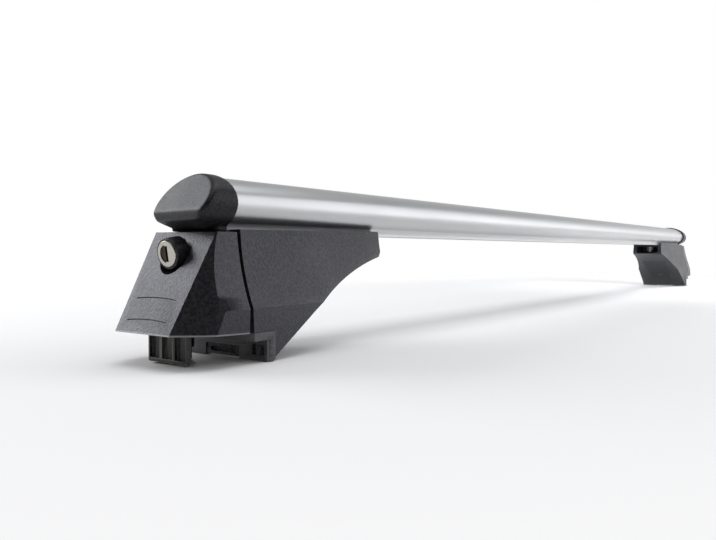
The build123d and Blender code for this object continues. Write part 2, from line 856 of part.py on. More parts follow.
with BuildPart() as tee_bolt_washer:
    with BuildSketch(Plane.XY.offset(recess_top)):
        with Locations((tbolt_place, 0)):
            Circle(tbolt_washer_diameter / 2)
            Circle(tbolt_diameter / 2 + tbolt_washer_gap, mode=Mode.SUBTRACT)
    extrude(amount=-tbolt_washer_thickness)

with BuildPart() as tee_bolt_nut:
    with BuildSketch(Plane.XY.offset(recess_top - tbolt_washer_thickness)):
        with Locations((tbolt_place, 0)):
            RegularPolygon(tbolt_nut_width / 2, 6, major_radius=False)
            Circle(tbolt_diameter / 2 + tbolt_thread_gap, mode=Mode.SUBTRACT)
    extrude(amount=-tbolt_nut_height)

aluminium_bar.part.label = "aluminium_bar"
end_cap.part.label = "end_cap"
mirrored_cap.part.label = "end_cap"
foot_body.part.label = "foot_body"
saddle_pad.part.label = "saddle_pad"
rail_pad.part.label = "rail_pad"
underside_panel.part.label = "underside_panel"
panel_screw.part.label = "panel_screw"
front_cover.part.label = "front_cover"
lock_housing.part.label = "lock_housing"
lock_core.part.label = "lock_core"
keyhole_shutter.part.label = "keyhole_shutter"
lock_cam.part.label = "lock_cam"
cam_screw.part.label = "cam_screw"
clamp_claw.part.label = "clamp_claw"
claw_liner.part.label = "claw_liner"
clamp_bolt.part.label = "clamp_bolt"
clamp_washer.part.label = "clamp_washer"
clamp_nut.part.label = "clamp_nut"
tee_bolt.part.label = "tee_bolt"
tee_bolt_washer.part.label = "tee_bolt_washer"
tee_bolt_nut.part.label = "tee_bolt_nut"

export_step(aluminium_bar.part, "parts/aluminium_bar.step")

foot_pieces = (
    foot_body,
    saddle_pad,
    rail_pad,
    underside_panel,
    panel_screw,
    front_cover,
    lock_housing,
    lock_core,
    keyhole_shutter,
    lock_cam,
    cam_screw,
    clamp_claw,
    claw_liner,
    clamp_bolt,
    clamp_washer,
    clamp_nut,
    tee_bolt,
    tee_bolt_washer,
    tee_bolt_nut,
)
for side, turn, cap in (("left", 0, end_cap), ("right", 180, mirrored_cap)):
    end_place = Rot(0, 0, turn) * Pos(-half_joint, 0, 0)
    for piece in (cap, *foot_pieces):
        placed = end_place * piece.part
        placed.label = side + "_" + piece.part.label
        export_step(placed, "parts/" + placed.label + ".step")
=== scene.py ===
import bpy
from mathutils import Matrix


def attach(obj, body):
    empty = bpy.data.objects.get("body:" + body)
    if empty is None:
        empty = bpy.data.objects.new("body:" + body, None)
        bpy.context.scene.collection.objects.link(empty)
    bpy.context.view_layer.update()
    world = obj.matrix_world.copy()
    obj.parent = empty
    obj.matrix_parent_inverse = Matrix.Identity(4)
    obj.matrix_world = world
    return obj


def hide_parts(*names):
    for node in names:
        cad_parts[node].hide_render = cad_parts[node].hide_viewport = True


bl_info = {
    "name": "Roof rack crossbar",
    "version": (1, 0, 0),
    "blender": (4, 5, 0),
    "location": "View3D > Sidebar > Crossbar",
    "description": "Dresses an oval roof bar with two lockable feet",
    "category": "Object",
}

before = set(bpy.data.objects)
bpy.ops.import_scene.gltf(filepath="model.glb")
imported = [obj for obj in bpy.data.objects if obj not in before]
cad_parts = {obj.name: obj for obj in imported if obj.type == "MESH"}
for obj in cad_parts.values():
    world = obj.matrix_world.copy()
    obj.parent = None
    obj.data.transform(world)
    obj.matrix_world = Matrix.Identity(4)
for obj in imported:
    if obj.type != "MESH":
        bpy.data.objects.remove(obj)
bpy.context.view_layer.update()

import math

import bpy
from mathutils import Matrix, Vector

# Lengths are in metres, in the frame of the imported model: X along the bar, Z up.
MM = 0.001
SIDES = ("left", "right")
SIDES_TURNED = (("left", 1), ("right", -1))
SMOOTH_ANGLE = math.radians(32)
BEVEL_ANGLE = math.radians(34)
MERGE_DISTANCE = 0.002 * MM
FLAT_ANGLE = math.radians(0.3)
SOFT_EDGE_ANGLE = math.radians(20)

# Place and aim of the camera that took the photograph, worked out from it
CAMERA_PLACE = Vector((-0.8415, -0.3104, 0.0631))
CAMERA_YAW = math.radians(35.92)
CAMERA_DIP = math.radians(1.63)
CAMERA_ROLL = math.radians(0.22)
CAMERA_LENS = 35.83
CAMERA_NEAR = 10 * MM
SENSOR_WIDTH = 36.0


def colour_setting(name, description, default):
    return bpy.props.FloatVectorProperty(
        name=name,
        description=description,
        subtype="COLOR",
        size=3,
        min=0.0,
        max=1.0,
        default=default,
    )


def length_setting(name, description, default):
    return bpy.props.FloatProperty(
        name=name,
        description=description,
        subtype="DISTANCE",
        unit="LENGTH",
        default=default,
    )


class CrossbarFinish(bpy.types.PropertyGroup):
    """Colours and textures of the crossbar's materials."""

    bar_colour: colour_setting(
        "Bar colour", "Colour of the satin anodised aluminium", (0.56, 0.565, 0.57)
    )
    bar_roughness: bpy.props.FloatProperty(
        name="Bar roughness",
        description="How softly the bar reflects",
        min=0.0,
        max=1.0,
        default=0.36,
    )
    plastic_colour: colour_setting(
        "Plastic colour", "Colour of the moulded feet and end caps", (0.0125, 0.0125, 0.014)
    )
    cover_colour: colour_setting(
        "Cover colour", "Colour of the moulded front covers", (0.0135, 0.0132, 0.0152)
    )
    pad_colour: colour_setting(
        "Rail pad colour", "Colour of the pads that meet the roof rails", (0.038, 0.038, 0.0385)
    )
    lock_colour: colour_setting(
        "Lock colour", "Colour of the nickel plated lock faces", (0.46, 0.44, 0.40)
    )
    grain_size: length_setting(
        "Grain size", "Width of one grain of the moulded texture", 0.9 * MM
    )


class CrossbarSizes(bpy.types.PropertyGroup):
    """Roundings that the dressed pieces add to the solids."""

    plastic_edge: length_setting(
        "Plastic edge", "Width of the rounding on moulded edges", 0.7 * MM
    )
    metal_edge: length_setting("Metal edge", "Width of the rounding on metal edges", 0.3 * MM)


class CrossbarStudio(bpy.types.PropertyGroup):
    """Light and floor of the plain studio."""

    lamp_power: bpy.props.FloatProperty(
        name="Lamp power",
        description="Strength that all the softboxes share",
        subtype="POWER",
        min=0.0,
        default=1.0,
    )
    world_level: bpy.props.FloatProperty(
        name="World level",
        description="Strength of the light that comes from all round",
        min=0.0,
        default=0.5,
    )
    floor_colour: colour_setting(
        "Floor colour", "Colour of the plain floor", (0.97, 0.97, 0.97)
    )


def deselect():
    """Leaves edit mode and deselects everything."""
    if bpy.context.object and bpy.context.object.mode != "OBJECT":
        bpy.ops.object.mode_set(mode="OBJECT")
    bpy.ops.object.select_all(action="DESELECT")


def make_active(piece):
    deselect()
    piece.select_set(True)
    bpy.context.view_layer.objects.active = piece


# Shader node groups

def new_group(name, inputs, outputs):
    """A shader node group with named sockets, and its two end nodes."""
    group = bpy.data.node_groups.new(name, "ShaderNodeTree")
    for label, kind, value in inputs:
        socket = group.interface.new_socket(name=label, in_out="INPUT", socket_type=kind)
        if value is not None:
            socket.default_value = value
    for label, kind in outputs:
        group.interface.new_socket(name=label, in_out="OUTPUT", socket_type=kind)
    return group, group.nodes.new("NodeGroupInput"), group.nodes.new("NodeGroupOutput")


def math_node(tree, operation, first, second=0.0):
    """A math node whose inputs are sockets or numbers."""
    node = tree.nodes.new("ShaderNodeMath")
    node.operation = operation
    for socket, value in zip(node.inputs, (first, second)):
        if isinstance(value, bpy.types.NodeSocket):
            tree.links.new(value, socket)
        else:
            socket.default_value = value
    return node.outputs[0]


def fade_node(tree, value, start, end, first, last):
    """A soft change from one number to another while a value goes from start to end."""
    node = tree.nodes.new("ShaderNodeMapRange")
    node.interpolation_type = "SMOOTHSTEP"
    node.inputs["From Min"].default_value = start
    node.inputs["From Max"].default_value = end
    node.inputs["To Min"].default_value = first
    node.inputs["To Max"].default_value = last
    tree.links.new(value, node.inputs["Value"])
    return node.outputs["Result"]


# Cloud levels between which flecks grow, and how much coarser the clouds are than the grain
SPECKLE_RANGE = (0.36, 0.66)
COARSE_SHARE = 0.6


def build_moulded_grain():
    """Fine pebbled grain of a textured mould: a height, and a mask that follows it."""
    group, given, result = new_group(
        "moulded_grain",
        (
            ("Vector", "NodeSocketVector", None),
            ("Grain Size", "NodeSocketFloat", 0.45 * MM),
            ("Unevenness", "NodeSocketFloat", 2.0),
        ),
        (("Height", "NodeSocketFloat"), ("Speckle", "NodeSocketFloat")),
    )
    density = math_node(group, "DIVIDE", 1.0, given.outputs["Grain Size"])
    cells = group.nodes.new("ShaderNodeTexVoronoi")
    cells.feature = "SMOOTH_F1"
    cells.inputs["Smoothness"].default_value = 0.6
    clouds = group.nodes.new("ShaderNodeTexNoise")
    clouds.inputs["Detail"].default_value = 2.0
    coarse = math_node(group, "MULTIPLY", density, COARSE_SHARE)
    for texture, scale in ((cells, density), (clouds, coarse)):
        group.links.new(given.outputs["Vector"], texture.inputs["Vector"])
        group.links.new(scale, texture.inputs["Scale"])
    lifted = math_node(group, "MULTIPLY", clouds.outputs["Fac"], given.outputs["Unevenness"])
    height = math_node(group, "SUBTRACT", lifted, cells.outputs["Distance"])
    group.links.new(height, result.inputs["Height"])
    flecks = fade_node(group, clouds.outputs["Fac"], *SPECKLE_RANGE, 0.0, 1.0)
    group.links.new(flecks, result.inputs["Speckle"])
    return group


def build_drawn_lines():
    """Faint lines that run along X, as on drawn and anodised aluminium."""
    group, given, result = new_group(
        "drawn_lines",
        (
            ("Vector", "NodeSocketVector", None),
            ("Line Width", "NodeSocketFloat", 0.4 * MM),
            ("Line Length", "NodeSocketFloat", 400 * MM),
        ),
        (("Height", "NodeSocketFloat"), ("Streak", "NodeSocketFloat")),
    )
    across = math_node(group, "DIVIDE", 1.0, given.outputs["Line Width"])
    along = math_node(group, "DIVIDE", 1.0, given.outputs["Line Length"])
    scale = group.nodes.new("ShaderNodeCombineXYZ")
    group.links.new(along, scale.inputs["X"])
    group.links.new(across, scale.inputs["Y"])
    group.links.new(across, scale.inputs["Z"])
    stretch = group.nodes.new("ShaderNodeVectorMath")
    stretch.operation = "MULTIPLY"
    group.links.new(given.outputs["Vector"], stretch.inputs[0])
    group.links.new(scale.outputs["Vector"], stretch.inputs[1])
    lines = group.nodes.new("ShaderNodeTexNoise")
    lines.inputs["Scale"].default_value = 1.0
    lines.inputs["Detail"].default_value = 4.0
    group.links.new(stretch.outputs["Vector"], lines.inputs["Vector"])
    group.links.new(lines.outputs["Fac"], result.inputs["Height"])
    group.links.new(lines.outputs["Fac"], result.inputs["Streak"])
    return group


def build_soft_patches():
    """Broad, soft patches where a surface is a little smoother or duller."""
    group, given, result = new_group(
        "soft_patches",
        (
            ("Vector", "NodeSocketVector", None),
            ("Patch Size", "NodeSocketFloat", 30 * MM),
            ("Low", "NodeSocketFloat", 0.0),
            ("High", "NodeSocketFloat", 1.0),
        ),
        (("Value", "NodeSocketFloat"),),
    )
    density = math_node(group, "DIVIDE", 1.0, given.outputs["Patch Size"])
    clouds = group.nodes.new("ShaderNodeTexNoise")
    clouds.inputs["Detail"].default_value = 5.0
    clouds.inputs["Roughness"].default_value = 0.55
    group.links.new(given.outputs["Vector"], clouds.inputs["Vector"])
    group.links.new(density, clouds.inputs["Scale"])
    spread = group.nodes.new("ShaderNodeMapRange")
    spread.inputs["From Min"].default_value = 0.3
    spread.inputs["From Max"].default_value = 0.7
    group.links.new(clouds.outputs["Fac"], spread.inputs["Value"])
    group.links.new(given.outputs["Low"], spread.inputs["To Min"])
    group.links.new(given.outputs["High"], spread.inputs["To Max"])
    group.links.new(spread.outputs["Result"], result.inputs["Value"])
    return group


def build_edge_shine():
    """Mask of outer edges, where moulding and handling leave a surface smoother; it also places
    the painted highlights on the claws and pads and the painted shade round the panels.
    """
    group, given, result = new_group(
        "edge_shine",
        (("Spread", "NodeSocketFloat", 0.08),),
        (("Mask", "NodeSocketFloat"),),
    )
    shape = group.nodes.new("ShaderNodeNewGeometry")
    rise = math_node(group, "SUBTRACT", shape.outputs["Pointiness"], 0.5)
    share = math_node(group, "DIVIDE", rise, given.outputs["Spread"])
    mask = group.nodes.new("ShaderNodeClamp")
    group.links.new(share, mask.inputs["Value"])
    group.links.new(mask.outputs["Result"], result.inputs["Mask"])
    return group


GROUP_BUILDERS = {
    "moulded_grain": build_moulded_grain,
    "drawn_lines": build_drawn_lines,
    "soft_patches": build_soft_patches,
    "edge_shine": build_edge_shine,
}


def use_group(tree, name, vector, **values):
    """Places a shader node group, built on first use, and sets its named inputs."""
    group = bpy.data.node_groups.get(name) or GROUP_BUILDERS[name]()
    node = tree.nodes.new("ShaderNodeGroup")
    node.node_tree = group
    if vector is not None:
        tree.links.new(vector, node.inputs["Vector"])
    for label, value in values.items():
        node.inputs[label.replace("_", " ")].default_value = value
    return node


# The solids bring plain materials under the slots' own names, so the finishes get longer ones
FINISH_ENDING = "_finish"


def new_material(name, colour, roughness, metallic=0.0, specular=0.5):
    """A material with its shader, and the object's own coordinates."""
    material = bpy.data.materials.new(name + FINISH_ENDING)
    material.use_nodes = True
    tree = material.node_tree
    shader = tree.nodes["Principled BSDF"]
    shader.inputs["Base Color"].default_value = (*colour, 1.0)
    shader.inputs["Roughness"].default_value = roughness
    shader.inputs["Metallic"].default_value = metallic
    shader.inputs["Specular IOR Level"].default_value = specular
    where = tree.nodes.new("ShaderNodeTexCoord").outputs["Object"]
    return material, tree, shader, where


def tint(tree, shader, mask, below, above):
    """Base colour that goes from one colour or socket to another colour by a mask."""
    mix = tree.nodes.new("ShaderNodeMix")
    mix.data_type = "RGBA"
    tree.links.new(mask, mix.inputs["Factor"])
    if isinstance(below, bpy.types.NodeSocket):
        tree.links.new(below, mix.inputs["A"])
    else:
        mix.inputs["A"].default_value = (*below, 1.0)
    mix.inputs["B"].default_value = (*above, 1.0)
    tree.links.new(mix.outputs["Result"], shader.inputs["Base Color"])


def paint_over(material, mask, colour):
    """Lays one more colour over a finished material, where a mask says."""
    tree = material.node_tree
    shader = tree.nodes["Principled BSDF"]
    below = shader.inputs["Base Color"].links[0].from_socket
    tint(tree, shader, mask, below, colour)


def shades(colour, darker, paler):
    """A darker and a paler shade of a colour."""
    return [tuple(channel * factor for channel in colour) for factor in (darker, paler)]


def uneven_roughness(tree, where, roughness, patch_size, below, above):
    """A roughness that strays a little below and above its own value, patch by patch."""
    patches = use_group(
        tree,
        "soft_patches",
        where,
        Patch_Size=patch_size,
        Low=roughness - below,
        High=roughness + above,
    )
    return patches.outputs["Value"]


def relief(tree, shader, height, depth):
    """Turns a height into a bump on the shader's normal."""
    bump = tree.nodes.new("ShaderNodeBump")
    bump.inputs["Distance"].default_value = depth
    tree.links.new(height, bump.inputs["Height"])
    tree.links.new(bump.outputs["Normal"], shader.inputs["Normal"])


# In what follows, PATCHES are a size and how far the roughness strays below and above its
# value, and SHADES are how dark and how pale the colour gets.
BAR_PATCHES = (60 * MM, 0.03, 0.03)
BAR_SHADES = (0.93, 1.05)
BAR_LINE_DEPTH = 0.004 * MM


def anodised_aluminium(finish):
    """Satin aluminium with faint lines along the bar."""
    colour = tuple(finish.bar_colour)
    material, tree, shader, where = new_material(
        "anodised_aluminium", colour, finish.bar_roughness, metallic=1.0
    )
    lines = use_group(tree, "drawn_lines", where)
    tint(tree, shader, lines.outputs["Streak"], *shades(colour, *BAR_SHADES))
    roughness = uneven_roughness(tree, where, finish.bar_roughness, *BAR_PATCHES)
    tree.links.new(roughness, shader.inputs["Roughness"])
    relief(tree, shader, lines.outputs["Height"], BAR_LINE_DEPTH)
    return material


# Share of the grain size, roughness, depth of the grain and specular level of each moulding
MOULDINGS = {
    "black_plastic": (1.0, 0.44, 0.06 * MM, 0.45),
    "panel_plastic": (1.0, 0.5, 0.06 * MM, 0.45),
    "cover_plastic": (1.0, 0.4, 0.06 * MM, 0.5),
    "cap_plastic": (0.7, 0.42, 0.006 * MM, 0.2),
    "pad_rubber": (1.0, 0.6, 0.08 * MM, 0.35),
    "black_rubber": (0.8, 0.8, 0.03 * MM, 0.2),
}
MOULDING_PATCHES = (25 * MM, 0.03, 0.04)
MOULDING_SHADES = (0.4, 1.6)
EDGE_GLOSS = 0.12
FLECK_GLOSS = 0.05
COOL_SHEEN = (0.9, 0.9, 1.0, 1.0)


def moulding(name, colour, grain_size):
    """Plastic or rubber from a grained mould, paler in its flecks and smoother on its edges."""
    grain_share, roughness, grain_depth, specular = MOULDINGS[name]
    material, tree, shader, where = new_material(name, colour, roughness, specular=specular)
    shader.inputs["Specular Tint"].default_value = COOL_SHEEN
    grain = use_group(tree, "moulded_grain", where, Grain_Size=grain_share * grain_size)
    tint(tree, shader, grain.outputs["Speckle"], *shades(colour, *MOULDING_SHADES))
    edges = use_group(tree, "edge_shine", None)
    patchy = uneven_roughness(tree, where, roughness, *MOULDING_PATCHES)
    worn = math_node(tree, "MULTIPLY", edges.outputs["Mask"], EDGE_GLOSS)
    flecks = math_node(tree, "MULTIPLY", grain.outputs["Speckle"], FLECK_GLOSS)
    smoother = math_node(tree, "SUBTRACT", patchy, worn)
    mottled = math_node(tree, "SUBTRACT", smoother, flecks)
    tree.links.new(mottled, shader.inputs["Roughness"])
    relief(tree, shader, grain.outputs["Height"], grain_depth)
    return material


def black_plastic(finish):
    return moulding("black_plastic", tuple(finish.plastic_colour), finish.grain_size)


def cap_plastic(finish):
    return moulding("cap_plastic", tuple(finish.plastic_colour), finish.grain_size)


RUBBER_COLOUR = (0.018, 0.018, 0.018)


def black_rubber(finish):
    return moulding("black_rubber", RUBBER_COLOUR, finish.grain_size)


PANEL_JOINT_SHADE = (0.001, 0.001, 0.001)
PANEL_EDGE_SPREAD = 0.06


def panel_plastic(finish):
    """Moulded plastic with painted shade, darker along the joint round the panel."""
    material = moulding("panel_plastic", tuple(finish.plastic_colour), finish.grain_size)
    edges = use_group(material.node_tree, "edge_shine", None, Spread=PANEL_EDGE_SPREAD)
    # The dark line round the panel is painted shade.
    paint_over(material, edges.outputs["Mask"], PANEL_JOINT_SHADE)
    return material


PAD_EDGE_HIGHLIGHT = (0.12, 0.12, 0.12)
PAD_EDGE_SPREAD = 0.1


def pad_rubber(finish):
    """Moulded rubber with a painted highlight, paler along its edges."""
    material = moulding("pad_rubber", tuple(finish.pad_colour), finish.grain_size)
    edges = use_group(material.node_tree, "edge_shine", None, Spread=PAD_EDGE_SPREAD)
    # The paler edges are a painted highlight.
    paint_over(material, edges.outputs["Mask"], PAD_EDGE_HIGHLIGHT)
    return material


# Painted highlight: a pale line along the lower hem of a cover, which rises slowly from the
# foot outwards
HEM_START = 559.7 * MM
HEM_BOTTOM = 16.8 * MM
HEM_RISE = 0.034
HEM_HEIGHT = 0.5 * MM
HEM_FADE = 0.6 * MM
HEM_HIGHLIGHT_COLOUR = (0.2, 0.2, 0.21)


def cover_plastic(finish):
    """Moulded plastic with a painted highlight, a paler line along the lower hem."""
    material = moulding("cover_plastic", tuple(finish.cover_colour), finish.grain_size)
    tree = material.node_tree
    where = tree.nodes.new("ShaderNodeTexCoord")
    axes = tree.nodes.new("ShaderNodeSeparateXYZ")
    tree.links.new(where.outputs["Object"], axes.inputs["Vector"])
    outward = math_node(tree, "ABSOLUTE", axes.outputs["X"])
    rise = math_node(tree, "MULTIPLY", outward, HEM_RISE)
    height = math_node(tree, "SUBTRACT", axes.outputs["Z"], rise)
    hem_top = HEM_BOTTOM - HEM_RISE * HEM_START + HEM_HEIGHT
    hem = fade_node(tree, height, hem_top, hem_top + HEM_FADE, 1.0, 0.0)
    # The pale hem line is a painted highlight.
    paint_over(material, hem, HEM_HIGHLIGHT_COLOUR)
    return material


CLAW_COLOUR = (0.004, 0.004, 0.0045)
# Painted highlight on the claw's edges
CLAW_EDGE_HIGHLIGHT = (0.13, 0.126, 0.115)
CLAW_EDGE_SPREAD = 0.09
CLAW_ROUGHNESS = 0.24
CLAW_PATCHES = (4 * MM, 0.04, 0.10)
CLAW_SPECULAR = 0.3


def claw_steel(finish):
    """Steel under a glossy black coat, with a painted highlight on the ribs' edges."""
    material, tree, shader, where = new_material(
        "claw_steel", CLAW_COLOUR, CLAW_ROUGHNESS, specular=CLAW_SPECULAR
    )
    roughness = uneven_roughness(tree, where, CLAW_ROUGHNESS, *CLAW_PATCHES)
    tree.links.new(roughness, shader.inputs["Roughness"])
    edges = use_group(tree, "edge_shine", None, Spread=CLAW_EDGE_SPREAD)
    # The pale edges are a painted highlight.
    tint(tree, shader, edges.outputs["Mask"], CLAW_COLOUR, CLAW_EDGE_HIGHLIGHT)
    return material


# Colour, roughness and depth of the grain of the small metal parts
BLACK_COAT = ((0.022, 0.022, 0.024), 0.38, 0.02 * MM)
ZINC_PLATE = ((0.5, 0.5, 0.48), 0.34, 0.008 * MM)
DARK_PLATE = ((0.05, 0.038, 0.026), 0.35, 0.006 * MM)
NICKEL_ROUGHNESS = 0.22
NICKEL_DEPTH = 0.004 * MM

COAT_SPECULAR = 0.8
COAT_PATCHES = (4 * MM, 0.08, 0.08)
COAT_SHADES = (0.85, 1.2)
COAT_GRAIN_SIZE = 0.9 * MM
COAT_UNEVENNESS = 0.9

PLATE_PATCHES = (3 * MM, 0.06, 0.10)
PLATE_SHADES = (0.9, 1.08)
PLATE_GRAIN_SIZE = 0.3 * MM
PLATE_UNEVENNESS = 1.0


def black_steel(finish):
    """Steel under a thin, slightly wavy black coat."""
    colour, roughness, depth = BLACK_COAT
    material, tree, shader, where = new_material(
        "black_steel", colour, roughness, specular=COAT_SPECULAR
    )
    coat = uneven_roughness(tree, where, roughness, *COAT_PATCHES)
    tree.links.new(coat, shader.inputs["Roughness"])
    grain = use_group(
        tree,
        "moulded_grain",
        where,
        Grain_Size=COAT_GRAIN_SIZE,
        Unevenness=COAT_UNEVENNESS,
    )
    tint(tree, shader, grain.outputs["Speckle"], *shades(colour, *COAT_SHADES))
    relief(tree, shader, grain.outputs["Height"], depth)
    return material


def plated_metal(name, colour, roughness, depth):
    """Plated metal with faint marks and patches of duller plating."""
    material, tree, shader, where = new_material(name, colour, roughness, metallic=1.0)
    plating = uneven_roughness(tree, where, roughness, *PLATE_PATCHES)
    tree.links.new(plating, shader.inputs["Roughness"])
    grain = use_group(
        tree,
        "moulded_grain",
        where,
        Grain_Size=PLATE_GRAIN_SIZE,
        Unevenness=PLATE_UNEVENNESS,
    )
    tint(tree, shader, grain.outputs["Speckle"], *shades(colour, *PLATE_SHADES))
    relief(tree, shader, grain.outputs["Height"], depth)
    return material


def shutter_metal(finish):
    return plated_metal("shutter_metal", *DARK_PLATE)


def nickel(finish):
    return plated_metal("nickel", tuple(finish.lock_colour), NICKEL_ROUGHNESS, NICKEL_DEPTH)


def zinc_steel(finish):
    return plated_metal("zinc_steel", *ZINC_PLATE)


MATERIAL_MAKERS = {
    "anodised_aluminium": anodised_aluminium,
    "black_plastic": black_plastic,
    "panel_plastic": panel_plastic,
    "cover_plastic": cover_plastic,
    "cap_plastic": cap_plastic,
    "pad_rubber": pad_rubber,
    "black_rubber": black_rubber,
    "claw_steel": claw_steel,
    "black_steel": black_steel,
    "zinc_steel": zinc_steel,
    "nickel": nickel,
    "shutter_metal": shutter_metal,
}


def finish_of(name):
    """A material by name, made on first use."""
    return bpy.data.materials.get(name + FINISH_ENDING) or MATERIAL_MAKERS[name](
        bpy.context.scene.crossbar_finish
    )


def paint(piece, name):
    piece.data.materials.clear()
    piece.data.materials.append(finish_of(name))


def paint_node(node, name):
    """Gives a CAD solid that stays a material in each of its slots."""
    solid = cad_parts[node]
    if not solid.material_slots:
        solid.data.materials.append(None)
    for slot in solid.material_slots:
        slot.material = finish_of(name)


# Pieces. Each rounding is a share of the plastic or metal edge width.
PAD_ROUNDING = 0.5
PANEL_ROUNDING = 1.3
COVER_ROUNDING = 1.2
COVER_DETAIL_ROUNDING = 0.4
CLAW_ROUNDING = 2.5
FINE_SEGMENTS = 3
SCREW_EDGE = 0.15 * MM
SHUTTER_EDGE = 0.1 * MM


def merged_copy(node, name):
    """A copy of a solid whose loose triangles are merged into whole faces."""
    piece = bpy.data.objects.new(name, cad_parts[node].data.copy())
    bpy.context.scene.collection.objects.link(piece)
    make_active(piece)
    bpy.ops.object.mode_set(mode="EDIT")
    bpy.ops.mesh.select_all(action="SELECT")
    bpy.ops.mesh.remove_doubles(threshold=MERGE_DISTANCE)
    bpy.ops.mesh.dissolve_limited(angle_limit=FLAT_ANGLE)
    bpy.ops.mesh.select_all(action="DESELECT")
    bpy.ops.object.mode_set(mode="OBJECT")
    return piece


def round_edges(piece, width, segments=2):
    """Rounds the sharp edges of a piece; the large faces keep their own flat or smooth look."""
    make_active(piece)
    bpy.ops.object.shade_smooth_by_angle(angle=SMOOTH_ANGLE)
    bevel = piece.modifiers.new("round edges", "BEVEL")
    bevel.width = width
    bevel.segments = segments
    bevel.limit_method = "ANGLE"
    bevel.angle_limit = BEVEL_ANGLE
    bevel.use_clamp_overlap = True
    bpy.ops.object.modifier_apply(modifier=bevel.name)
    bpy.ops.object.shade_smooth_by_angle(angle=SMOOTH_ANGLE)
    weigh = piece.modifiers.new("weigh normals", "WEIGHTED_NORMAL")
    weigh.keep_sharp = True
    bpy.ops.object.modifier_apply(modifier=weigh.name)


def soften_long_edges(piece, width, shortest):
    """Rounds only the long edges of a piece, more than its small details."""
    make_active(piece)
    bpy.ops.object.mode_set(mode="EDIT")
    bpy.ops.mesh.select_mode(type="EDGE")
    bpy.ops.mesh.select_all(action="DESELECT")
    bpy.ops.mesh.edges_select_sharp(sharpness=SOFT_EDGE_ANGLE)
    bpy.ops.object.mode_set(mode="OBJECT")
    points = piece.data.vertices
    for edge in piece.data.edges:
        first, second = (points[index].co for index in edge.vertices)
        if (first - second).length < shortest:
            edge.select = False
    bpy.ops.object.mode_set(mode="EDIT")
    bpy.ops.mesh.bevel(offset=width, segments=FINE_SEGMENTS, clamp_overlap=True)
    bpy.ops.mesh.select_all(action="DESELECT")
    bpy.ops.object.mode_set(mode="OBJECT")


def settle(piece, body, material, node=None):
    """Gives a finished piece its material and body, and hides the solid that it stands for."""
    paint(piece, material)
    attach(piece, body)
    if node:
        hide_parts(node)


def dress(node, body, material, edge, segments=2):
    """Replaces a solid by a smooth copy, with rounded edges where a width is given."""
    piece = merged_copy(node, node + "_dressed")
    if edge > 0:
        round_edges(piece, edge, segments)
    else:
        bpy.ops.object.shade_smooth_by_angle(angle=SMOOTH_ANGLE)
    settle(piece, body, material, node)


class CROSSBAR_OT_bar(bpy.types.Operator):
    """Make the satin anodised bar"""

    bl_idname = "crossbar.bar"
    bl_label = "Bar"

    def execute(self, context):
        dress("aluminium_bar", "bar", "anodised_aluminium", 0)
        return {"FINISHED"}


# The caps are soft mouldings: their corners are eased, but not the sleeve that meets the bar.
# The easing grows from none at the sleeve to all of it a little farther out.
CAP_JOINT = 566 * MM
CAP_SLEEVE = 1.5 * MM
CAP_EASING_GROWTH = 5 * MM
CAP_VOXEL = 0.6 * MM
CAP_EASING_FACTOR = 0.5
CAP_EASING_STEPS = 26


def ease_cap(cap):
    """Rounds a cap's corners as a soft moulding's, all but its sleeve and plug."""
    make_active(cap)
    grid = cap.modifiers.new("even grid", "REMESH")
    grid.mode = "VOXEL"
    grid.voxel_size = CAP_VOXEL
    bpy.ops.object.modifier_apply(modifier=grid.name)
    outside = cap.vertex_groups.new(name="outside")
    for point in cap.data.vertices:
        depth = abs(point.co.x) - CAP_JOINT - CAP_SLEEVE
        share = min(max(depth / CAP_EASING_GROWTH, 0.0), 1.0)
        outside.add([point.index], share, "REPLACE")
    soften = cap.modifiers.new("ease corners", "SMOOTH")
    soften.factor = CAP_EASING_FACTOR
    soften.iterations = CAP_EASING_STEPS
    soften.vertex_group = outside.name
    bpy.ops.object.modifier_apply(modifier=soften.name)
    cap.vertex_groups.clear()
    bpy.ops.object.shade_smooth_by_angle(angle=SMOOTH_ANGLE)


class CROSSBAR_OT_end_caps(bpy.types.Operator):
    """Make the two moulded end caps"""

    bl_idname = "crossbar.end_caps"
    bl_label = "End caps"

    def execute(self, context):
        for side in SIDES:
            node = side + "_end_cap"
            cap = merged_copy(node, node + "_dressed")
            ease_cap(cap)
            settle(cap, "bar", "cap_plastic", node)
        return {"FINISHED"}


class CROSSBAR_OT_feet(bpy.types.Operator):
    """Make the moulded foot bodies, their panels and rail pads"""

    bl_idname = "crossbar.feet"
    bl_label = "Feet"

    def execute(self, context):
        edge = context.scene.crossbar_sizes.plastic_edge
        for side in SIDES:
            body = side + "_foot"
            dress(side + "_foot_body", body, "black_plastic", edge)
            dress(side + "_rail_pad", body, "pad_rubber", PAD_ROUNDING * edge)
            dress(
                side + "_underside_panel",
                body,
                "panel_plastic",
                PANEL_ROUNDING * edge,
                FINE_SEGMENTS,
            )
            dress(side + "_panel_screw", body, "black_steel", SCREW_EDGE)
            paint_node(side + "_saddle_pad", "black_rubber")
        return {"FINISHED"}


# Edges of a cover at least this long are softened
COVER_LONG_EDGE = 7 * MM


class CROSSBAR_OT_covers(bpy.types.Operator):
    """Make the faceted front covers"""

    bl_idname = "crossbar.covers"
    bl_label = "Front covers"

    def execute(self, context):
        edge = context.scene.crossbar_sizes.plastic_edge
        for side in SIDES:
            node = side + "_front_cover"
            cover = merged_copy(node, node + "_dressed")
            soften_long_edges(cover, COVER_ROUNDING * edge, COVER_LONG_EDGE)
            round_edges(cover, COVER_DETAIL_ROUNDING * edge)
            settle(cover, side + "_cover", "cover_plastic", node)
        return {"FINISHED"}


